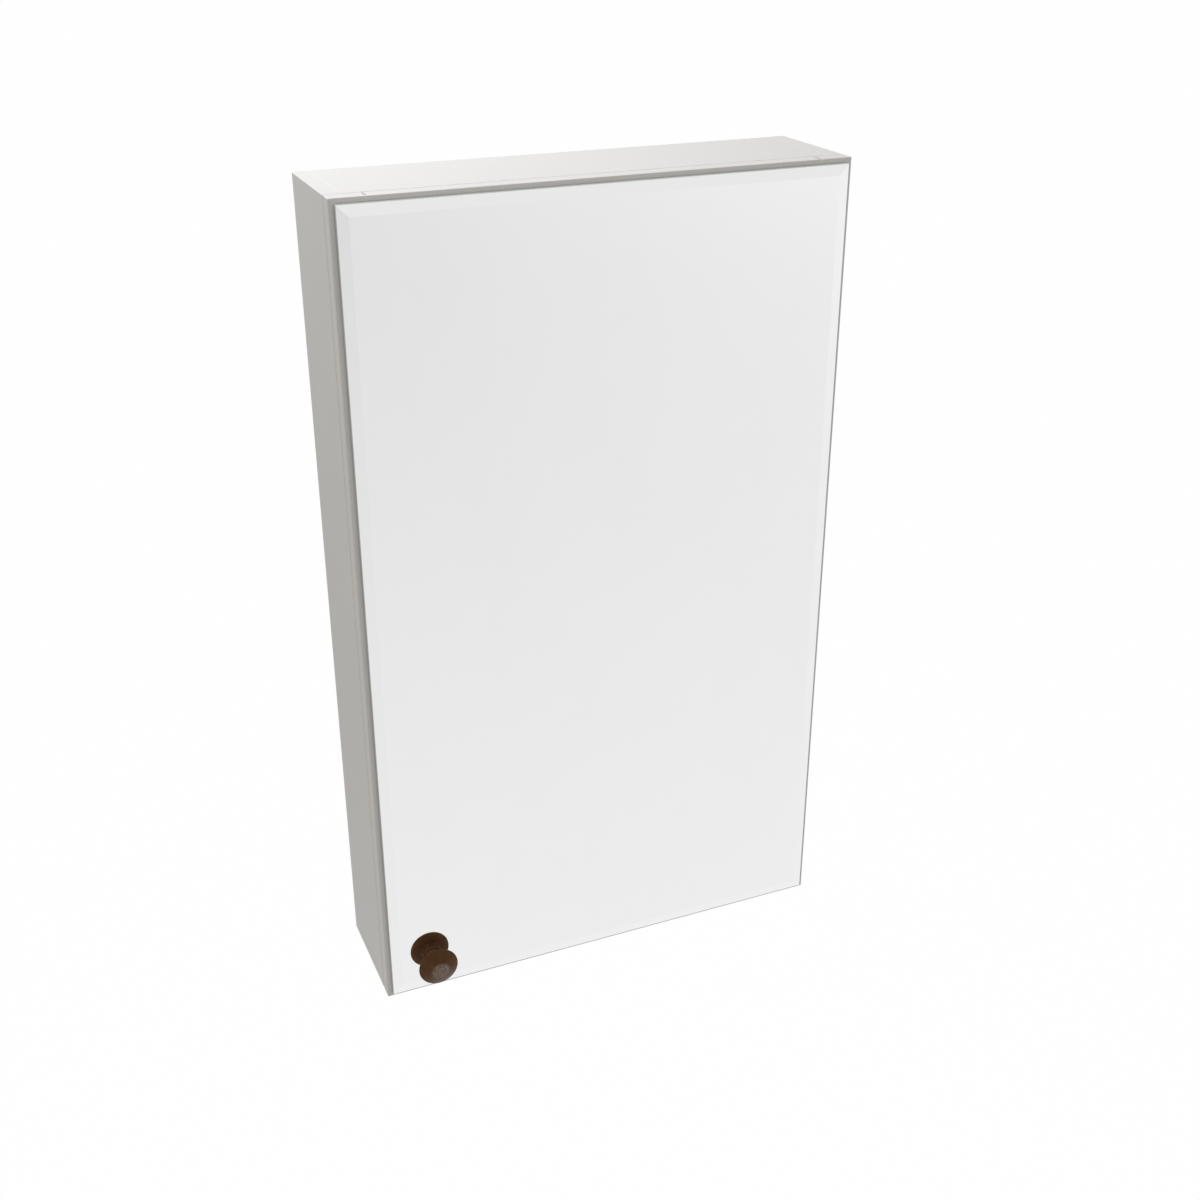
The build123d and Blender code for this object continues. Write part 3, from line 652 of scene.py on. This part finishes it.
def closeSurface(name, patches):
    # joins patches of quads, each a grid of points (rows, columns, 3) with a material number for each row
    # of faces. Seams and poles are merged, and the normals then point out.
    points, faces, numbers = [], [], []
    count = 0
    for grid, rowMaterials in patches:
        rows, columns = grid.shape[:2]
        index = np.arange(rows * columns).reshape(rows, columns) + count
        quads = np.stack([index[:-1, :-1], index[1:, :-1], index[1:, 1:], index[:-1, 1:]], axis=-1)
        points.append(grid.reshape(-1, 3))
        faces.append(quads.reshape(-1, 4))
        numbers.append(np.repeat(rowMaterials, columns - 1))
        count += rows * columns
    mesh = bpy.data.meshes.new(name)
    mesh.from_pydata(np.concatenate(points).tolist(), [], np.concatenate(faces).tolist())
    mesh.polygons.foreach_set("material_index", np.concatenate(numbers).astype(np.int32))
    work = bmesh.new()
    work.from_mesh(mesh)
    bmesh.ops.remove_doubles(work, verts=work.verts, dist=1e-6)
    bmesh.ops.recalc_face_normals(work, faces=work.faces)
    work.to_mesh(mesh)
    work.free()
    return mesh


def plain(grid):
    # a patch that wears the first material all over
    return grid, np.zeros(len(grid) - 1)


def addPiece(name, mesh, finishes, body, node, sharpAngle=35.0):
    for finish in finishes:
        mesh.materials.append(finish)
    mesh.shade_smooth()
    mesh.set_sharp_from_angle(angle=math.radians(sharpAngle))
    piece = bpy.data.objects.new(name, mesh)
    bpy.context.scene.collection.objects.link(piece)
    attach(piece, body)
    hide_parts(node)


def turned(profile, middle, axis, steps):
    # surface of revolution: each (radius, height) of the profile goes once round the axis
    axis = np.array(axis, float)
    side = np.array([0.0, 0.0, 1.0]) if abs(axis[2]) < 0.5 else np.array([1.0, 0.0, 0.0])
    other = np.cross(axis, side)
    turn = np.linspace(0, 2 * np.pi, steps + 1)
    turn[-1] = 0
    spoke = np.cos(turn)[:, None] * side + np.sin(turn)[:, None] * other
    radius, height = profile[:, 0], profile[:, 1]
    return middle + radius[:, None, None] * spoke[None] + height[:, None, None] * axis


def arcPoints(center, radius, angles):
    # the center plus the radius times each angle's cosine and sine
    return np.stack([center[0] + radius * np.cos(angles), center[1] + radius * np.sin(angles)], axis=1)


def circlePoints(center, radius, start, end, count):
    # points on an arc between two angles in degrees
    return arcPoints(center, radius, np.radians(np.linspace(start, end, count)))


def arcFrom(start, tangent, end, count):
    # arc that leaves its start along a tangent and reaches its end
    start, end = np.array(start, float), np.array(end, float)
    tangent = np.array(tangent, float) / np.hypot(*tangent)
    normal = np.array([-tangent[1], tangent[0]])
    chord = end - start
    radius = chord @ chord / (2 * (normal @ chord))
    center = start + radius * normal
    first = np.arctan2(*(start - center)[::-1])
    sweep = 2 * np.arctan2(normal @ chord, tangent @ chord)
    return arcPoints(center, abs(radius), first + np.linspace(0, 1, count) * sweep)


def arcThrough(start, middle, end, count):
    # arc through three points
    (ax, ay), (bx, by), (cx, cy) = start, middle, end
    double = 2 * (ax * (by - cy) + bx * (cy - ay) + cx * (ay - by))
    ux = ((ax**2 + ay**2) * (by - cy) + (bx**2 + by**2) * (cy - ay) + (cx**2 + cy**2) * (ay - by)) / double
    uy = ((ax**2 + ay**2) * (cx - bx) + (bx**2 + by**2) * (ax - cx) + (cx**2 + cy**2) * (bx - ax)) / double
    radius = math.hypot(ax - ux, ay - uy)
    first = math.degrees(math.atan2(ay - uy, ax - ux))
    last = math.degrees(math.atan2(cy - uy, cx - ux))
    between = math.degrees(math.atan2(by - uy, bx - ux))
    if (between - first) % 360 > (last - first) % 360:
        last = first - (first - last) % 360
    else:
        last = first + (last - first) % 360
    return circlePoints((ux, uy), radius, first, last, count)


def heading(points):
    # direction in which a run of points ends
    return points[-1] - points[-2]


# Knob: turned base with a rounded shoulder, a cove to the neck, a round rim and a domed head.
# Pairs are a radius and a height over the mirror.

knobShape = {
    "baseRadius": 0.0088, "baseEase": 0.0003, "baseHeight": 0.0019,
    "shoulder": (0.0073, 0.0034),
    "neck": (0.0060, 0.0058),
    "coveEnd": (0.0092, 0.0090),
    "rimRound": 0.0016, "rimHeight": 0.0113,
    "rimUnder": 80.0, "rimOver": 55.0,   # degrees that the rim's arc turns below and above its widest point
    "faceRadius": 0.0080, "faceCrown": 0.0006,
    "steps": 160,                # faces once round
    "sharpAngle": 28.0,
}


def makeKnob():
    low, high = nodeBox("knob")
    shape = knobShape
    rimRadius = (high[0] - low[0]) / 2
    projection = high[1] - low[1]
    base = np.array([(low[0] + high[0]) / 2, high[1], (low[2] + high[2]) / 2])
    baseRadius, ease = shape["baseRadius"], shape["baseEase"]
    foot = circlePoints((baseRadius - ease, ease), ease, -90, 0, 5)
    shoulder = arcFrom((baseRadius, shape["baseHeight"]), (0, 1), shape["shoulder"], 10)
    cove = arcThrough(shape["shoulder"], shape["neck"], shape["coveEnd"], 22)
    rimMiddle = (rimRadius - shape["rimRound"], shape["rimHeight"])
    rim = circlePoints(rimMiddle, shape["rimRound"], -shape["rimUnder"], shape["rimOver"], 22)
    under = arcFrom(shape["coveEnd"], heading(cove), rim[0], 14)
    faceEdge = (shape["faceRadius"], projection - shape["faceCrown"])
    dome = arcFrom(rim[-1], heading(rim), faceEdge, 22)
    face = arcFrom((0, projection), (1, 0), faceEdge, 16)[::-1]
    profile = np.concatenate([[(0, 0)], foot, shoulder, cove[1:], under[1:], rim[1:], dome[1:], face[1:]])
    mesh = closeSurface("knob_turned", [plain(turned(profile, base, (0, -1, 0), shape["steps"]))])
    rimDepth = high[1] - shape["rimHeight"]
    finish = bronzeFinish(base, rimRadius, rimDepth, shape["faceRadius"], low[1] + 2 * shape["faceCrown"])
    addPiece("knob_turned", mesh, [finish], "door", "knob", shape["sharpAngle"])


makeKnob()
print("knob made")


# Mirror plate: loops from the screw hole out over the face, down the bevel, round the rim and back

plateShape = {
    "bevel": 0.0080, "rim": 0.0026, "arris": 0.0003, "hole": 0.0030,
    "sideSteps": 24,             # points on each side of a loop
    "sharpAngle": 5.0,
}


def rectangleLoop(half, depth, middle, count):
    # one turn round a rectangle with the corners among its points, the same number on each side
    share = np.arange(count) / count
    sideA = np.stack([1 - 2 * share, np.ones(count)], axis=1)
    sideB = np.stack([-np.ones(count), 1 - 2 * share], axis=1)
    turn = np.concatenate([sideA, sideB, -sideA, -sideB, sideA[:1]]) * half
    return np.stack([middle[0] + turn[:, 0], np.full(len(turn), depth), middle[2] + turn[:, 1]], axis=1)


def holeLoop(loop, center, radius, depth):
    # points on the hole's circle, each in line with its partner on the loop
    away = loop[:, [0, 2]] - center
    away /= np.linalg.norm(away, axis=1)[:, None]
    ring = center + radius * away
    return np.stack([ring[:, 0], np.full(len(ring), depth), ring[:, 1]], axis=1)


def makeMirror():
    low, high = nodeBox("mirror_glass")
    knobLow, knobHigh = nodeBox("knob")
    shape = plateShape
    middle, half = (low + high) / 2, ((high - low) / 2)[[0, 2]]
    center = ((knobLow + knobHigh) / 2)[[0, 2]]
    front, back = low[1], high[1]
    arris, steps = shape["arris"], shape["sideSteps"]
    rimFront = back - shape["rim"]
    slope = (rimFront - front) / shape["bevel"]
    # each loop's inset from the rim, its depth, and the finish that follows it outwards
    silver, bevel, rim, paint = range(4)
    outline = [
        (shape["bevel"], front, bevel),
        (arris, rimFront - arris * slope, rim),
        (0.0, rimFront + arris, rim),
        (0.0, back - arris, rim),
        (arris, back, paint),
    ]
    loops = [rectangleLoop(half - inset, depth, middle, steps) for inset, depth, _ in outline]
    start = holeLoop(loops[0], center, shape["hole"], front)
    end = holeLoop(loops[-1], center, shape["hole"], back)
    grid = np.stack([start, *loops, end, start])
    rows = np.array([silver, *(row for _, _, row in outline), rim])
    mesh = closeSurface("mirror_plate", [(grid, rows)])
    finishes = [silveredFinish(), bevelFinish(), rimFinish(), mirrorBackFinish()]
    addPiece("mirror_plate", mesh, finishes, "door", "mirror_glass", shape["sharpAngle"])


makeMirror()
print("mirror made")


# Screws: a flat or domed head with a cross recess, and a plain shank. The recess is given as shares of
# the head's radius.

screwKinds = {
    "flat": {"recessReach": 0.62, "recessWidth": 0.20, "recessDepth": 0.36},
    "pan": {"recessReach": 0.56, "recessWidth": 0.17, "recessDepth": 0.45},
}
flatHead = {"kind": "flat", "headHeight": 0.0002, "crown": 0.0}
screwSizes = {
    "back": {**flatHead, "headRadius": 0.0025, "shankRadius": 0.00125},
    "hinge": {**flatHead, "headRadius": 0.0022, "shankRadius": 0.0014},
    "catch": {
        "kind": "pan", "headHeight": 0.0008, "crown": 0.0010,
        "headRadius": 0.0028, "shankRadius": 0.0014,
    },
    "knob": {
        "kind": "pan", "headHeight": 0.0010, "crown": 0.0014,
        "headRadius": 0.0040, "shankRadius": 0.0020,
    },
}
screwShape = {
    "steps": 72,                 # faces once round
    "rings": 21,                 # rows of faces over the head
    "wall": 0.35,                # share of a recess arm's width that its wall slopes over
    "point": 1.6,                # length of the point in shank radii
    "apart": 2.6,                # head radii within which points belong to one screw
    "firstTurn": 0.6,            # the cross's turn on the first screw, and what each next one adds
    "nextTurn": 2.4,
    "sharpAngle": 32.0,
}


def crossDepth(across, up, reach, width):
    # depth of a cross recess, 1 at its middle: each arm slopes up to its end and its walls slope in
    def arm(u, v):
        return np.minimum(1 - np.abs(u) / reach, (width / 2 - np.abs(v)) / (width * screwShape["wall"]))
    return np.clip(np.maximum(arm(across, up), arm(up, across)), 0, 1)


def solidMiddles(node, plane, reach):
    # middle of each separate solid of a node, seen along its axis: points within reach belong together
    points = nodePoints(node)[:, plane]
    middles = []
    while len(points):
        near = np.linalg.norm(points - points[0], axis=1) < reach
        middles.append((points[near].min(0) + points[near].max(0)) / 2)
        points = points[~near]
    return middles


def screwPatches(top, axis, size, length, turnBy):
    # top is the middle of the head's upper rim, and axis points out of the head. The head rises by its
    # crown times the root of one less the squared share of its radius, and sinks by the recess.
    side = np.array([0.0, 0.0, 1.0])
    other = np.cross(axis, side)
    recess = screwKinds[size["kind"]]
    headRadius, headHeight, shankRadius = size["headRadius"], size["headHeight"], size["shankRadius"]
    angle = np.linspace(0, 2 * np.pi, screwShape["steps"] + 1)
    angle[-1] = 0
    ring = np.linspace(0, 1, screwShape["rings"] + 1)[:, None] * headRadius
    u, v = ring * np.cos(angle) / headRadius, ring * np.sin(angle) / headRadius
    cut = crossDepth(u, v, recess["recessReach"], recess["recessWidth"])
    rise = size["crown"] * (1 - (ring / headRadius) ** 2) ** 0.5
    lift = rise - cut * recess["recessDepth"] * headRadius
    spun = angle + turnBy
    spoke = np.cos(spun)[:, None] * side + np.sin(spun)[:, None] * other
    head = top + ring[:, :, None] * spoke[None] + lift[:, :, None] * axis
    # a flat head narrows to the shank at 45 degrees, and a domed one has a flat underside
    cone = headRadius - shankRadius if size["kind"] == "flat" else 0.0
    profile = np.array([
        (headRadius, 0.0),
        (headRadius, -headHeight),
        (shankRadius, -headHeight - cone),
        (shankRadius, -length + screwShape["point"] * shankRadius),
        (0.0, -length),
    ])
    body = top + profile[:, 0][:, None, None] * spoke[None] + profile[:, 1][:, None, None] * axis
    return [plain(head), plain(body)]


def makeScrews(node, name, body, axis, size):
    low, high = nodeBox(node)
    axis = np.array(axis, float)
    along = int(np.argmax(np.abs(axis)))
    plane = [number for number in range(3) if number != along]
    outer = high[along] if axis[along] > 0 else low[along]
    length = high[along] - low[along] - size["crown"]
    patches = []
    for number, middle in enumerate(solidMiddles(node, plane, size["headRadius"] * screwShape["apart"])):
        top = np.empty(3)
        top[plane] = middle
        top[along] = outer - axis[along] * size["crown"]
        turnBy = screwShape["firstTurn"] + screwShape["nextTurn"] * number
        patches += screwPatches(top, axis, size, length, turnBy)
    mesh = closeSurface(name, patches)
    addPiece(name, mesh, [screwSteel], body, node, screwShape["sharpAngle"])


screwRuns = [
    # node, piece, body, the way out of the head, size
    ("back_screws", "back_cross_screws", "cabinet", (0, 1, 0), "back"),
    ("hinge_box_screws", "hinge_box_cross_screws", "cabinet", (0, -1, 0), "hinge"),
    ("hinge_door_screws", "hinge_door_cross_screws", "door", (0, 1, 0), "hinge"),
    ("strike_screw", "strike_cross_screw", "door", (0, 1, 0), "hinge"),
    ("catch_screws", "catch_cross_screws", "cabinet", (1, 0, 0), "catch"),
    ("knob_screw", "knob_cross_screw", "door", (0, 1, 0), "knob"),
]
for node, name, body, axis, size in screwRuns:
    makeScrews(node, name, body, axis, screwSizes[size])
print("screws made")


# Hinge pins with domed ends

pinShape = {"radius": 0.00155, "headHeight": 0.0008, "domeSteps": 8, "steps": 48}


def makeHingePins():
    # each end is a quarter ellipse: the head's radius times a cosine, and its height times a sine
    shape = pinShape
    for end in ("upper", "lower"):
        node = end + "_hinge_pin"
        low, high = nodeBox(node)
        headRadius, height = (high[0] - low[0]) / 2, shape["headHeight"]
        neckLow, neckHigh = low[2] + height, high[2] - height
        rise = np.linspace(0, np.pi / 2, shape["domeSteps"])
        topDome = np.stack([headRadius * np.cos(rise), neckHigh + height * np.sin(rise)], axis=1)
        lowDome = np.stack([headRadius * np.cos(rise), neckLow - height * np.sin(rise)], axis=1)[::-1]
        shank = [(shape["radius"], neckLow), (shape["radius"], neckHigh)]
        profile = np.concatenate([lowDome, shank, topDome])
        middle = np.array([(low[0] + high[0]) / 2, (low[1] + high[1]) / 2, 0.0])
        mesh = closeSurface(end + "_pin", [plain(turned(profile, middle, (0, 0, 1), shape["steps"]))])
        addPiece(end + "_pin_domed", mesh, [hingeSteel], "door", node)


makeHingePins()


# Soft stops: low domes whose height falls with the radius by a rounded-square formula

stopShape = {"square": 2.4, "domeSteps": 14, "steps": 48}


def makeStops():
    low, high = nodeBox("door_bumpers")
    radius, height = (high[0] - low[0]) / 2, high[1] - low[1]
    square = stopShape["square"]
    share = np.sin(np.linspace(0, np.pi / 2, stopShape["domeSteps"]))
    dome = np.stack([radius * share, height * (1 - share ** square) ** (1 / square)], axis=1)
    profile = np.concatenate([dome, [(0.0, 0.0)]])
    patches = []
    for across, up in solidMiddles("door_bumpers", [0, 2], 3 * radius):
        base = np.array([across, high[1], up])
        patches.append(plain(turned(profile, base, (0, -1, 0), stopShape["steps"])))
    mesh = closeSurface("soft_domes", patches)
    addPiece("soft_domes", mesh, [softStopFinish()], "cabinet", "door_bumpers")


makeStops()
print("pins and stops made")


# Studio: pale floor well below the cabinet, as it hangs on a wall, and a soft light over it

studio = {
    "floorHeight": -1.60,
    "floorReach": 60.0,
    "floorTiles": 40,
    "floorColour": (0.70, 0.69, 0.67),
    "floorPatch": (0.5, 0.5, 0.49),
    "floorPatchScale": 1.5,
    "floorPatchShare": 0.06,
    "floorShown": 0.96,          # share of the floor that camera and mirrors see as plain white
    "floorGlow": 1.02,
    "floorFall": 0.28,           # how far the floor in front of the cabinet fades with distance
    "floorFallReach": 5.0,
    "floorRise": 0.04,           # and how much lighter it gets for each metre to the right
    "floorRiseBand": (0.8, 6.0),
    "floorLeft": 0.40,           # what is left of it far to the left
    "floorLeftBand": (-4.5, -1.8),
    "floorBehind": 0.45,         # and what polish sees of it far behind the cabinet
    "floorBehindBand": (0.8, 3.5),
    "skyLevel": 0.525,
    "skyColour": (1.03, 1.0, 0.955),
    "skyLow": (0.90, 0.90, 0.895),   # what polish sees of the sky: pale low down, dark overhead and behind
    "skyHigh": (0.12, 0.118, 0.114),
    "skyRiseBand": (0.18, 0.42),
    "skyInwardBand": (-0.2, 0.3),
    "skyInwardShare": 0.6,
    "keyPower": 7.7,
    "keyColour": (0.945, 0.965, 1.0),
    "keyPlace": (-0.40, 0.24, 1.22),
    "keySize": 0.4,
}


def seenDirectly(finish):
    # 1 for rays from the camera, off a mirror or through glass
    path = [finish.node("ShaderNodeLightPath", out=name) for name in
            ("Is Camera Ray", "Is Glossy Ray", "Is Transmission Ray")]
    return path[0].math("MAXIMUM", path[1]).math("MAXIMUM", path[2])


def makeFloor():
    reach = studio["floorReach"]
    line = np.linspace(-reach, reach, studio["floorTiles"] + 1)
    x, y = np.meshgrid(line, line, indexing="ij")
    grid = np.stack([x, y, np.full_like(x, studio["floorHeight"])], axis=-1)
    mesh = closeSurface("floor", [plain(grid[::-1])])
    finish = newFinish("pale_floor")
    where = finish.place()
    x, y = finish.coordinate(where, 0), finish.coordinate(where, 1)
    cloud = finish.noise(where, studio["floorPatchScale"])
    # polish and the mirror see the floor fade with distance and towards the left and the back. In front
    # it falls by one less the exponential of the distance over a reach. The camera sees it plain.
    front = (y / studio["floorFallReach"]).math("MINIMUM", 0.0)
    away = 1.0 - front.math("EXPONENT")
    riseStart, riseEnd = studio["floorRiseBand"]
    across = x.math("MINIMUM", riseEnd).math("MAXIMUM", riseStart) * studio["floorRise"]
    level = (1.0 - away * (studio["floorFall"] - across)).math("MINIMUM", 1.0)
    left = finish.step(x, *studio["floorLeftBand"], studio["floorLeft"], 1.0)
    behind = finish.step(y, *studio["floorBehindBand"], 1.0, studio["floorBehind"])
    polish = finish.node("ShaderNodeLightPath", out="Is Glossy Ray")
    strength = studio["floorGlow"] * (1.0 - polish * (1.0 - level * left * behind))
    glow = finish.node("ShaderNodeEmission", None, {"Color": (1.0, 1.0, 1.0), "Strength": strength})
    shade = finish.blend(cloud * studio["floorPatchShare"], studio["floorColour"], studio["floorPatch"])
    matte = finish.node("ShaderNodeBsdfDiffuse", None, {"Color": shade})
    amount = seenDirectly(finish) * studio["floorShown"]
    mixed = finish.node("ShaderNodeMixShader", None, {0: amount, 1: matte, 2: glow})
    finish.node("ShaderNodeOutputMaterial", None, {"Surface": mixed})
    mesh.materials.append(finish.owner)
    floor = bpy.data.objects.new("floor", mesh)
    bpy.context.scene.collection.objects.link(floor)


def makeSky():
    world = bpy.data.worlds.new("studioWorld")
    bpy.context.scene.world = world
    finish = Finish(world)
    light = finish.node("ShaderNodeBackground", None, {
        "Color": studio["skyColour"], "Strength": studio["skyLevel"],
    })
    direction = finish.node("ShaderNodeTexCoord", out="Generated")
    inward = finish.step(finish.coordinate(direction, 1), *studio["skyInwardBand"]) * studio["skyInwardShare"]
    high = finish.step(finish.coordinate(direction, 2), *studio["skyRiseBand"]).math("MAXIMUM", inward)
    inMirror = finish.node("ShaderNodeLightPath", out="Is Glossy Ray")
    mirrored = finish.blend(high, studio["skyLow"], studio["skyHigh"])
    shade = finish.blend(inMirror, (1.0, 1.0, 1.0), mirrored)
    shown = finish.node("ShaderNodeBackground", None, {"Color": shade, "Strength": 1.0})
    mixed = finish.node("ShaderNodeMixShader", None, {0: seenDirectly(finish), 1: light, 2: shown})
    finish.node("ShaderNodeOutputWorld", None, {"Surface": mixed})


def makeLamp(name, place, size, power, colour):
    lamp = bpy.data.lights.new(name, "AREA")
    lamp.shape = "DISK"
    lamp.size = size
    lamp.energy = power
    lamp.color = colour
    holder = bpy.data.objects.new(name, lamp)
    holder.location = place
    aim = -np.array(place)
    aim /= np.linalg.norm(aim)
    holder.rotation_euler = (math.acos(-aim[2]), 0, math.atan2(aim[1], aim[0]) - math.pi / 2)
    holder.visible_glossy = False
    bpy.context.scene.collection.objects.link(holder)


makeFloor()
makeSky()
makeLamp("overheadSoftbox", studio["keyPlace"], studio["keySize"], studio["keyPower"], studio["keyColour"])
bpy.context.scene.view_settings.view_transform = "Standard"
print("studio lit")
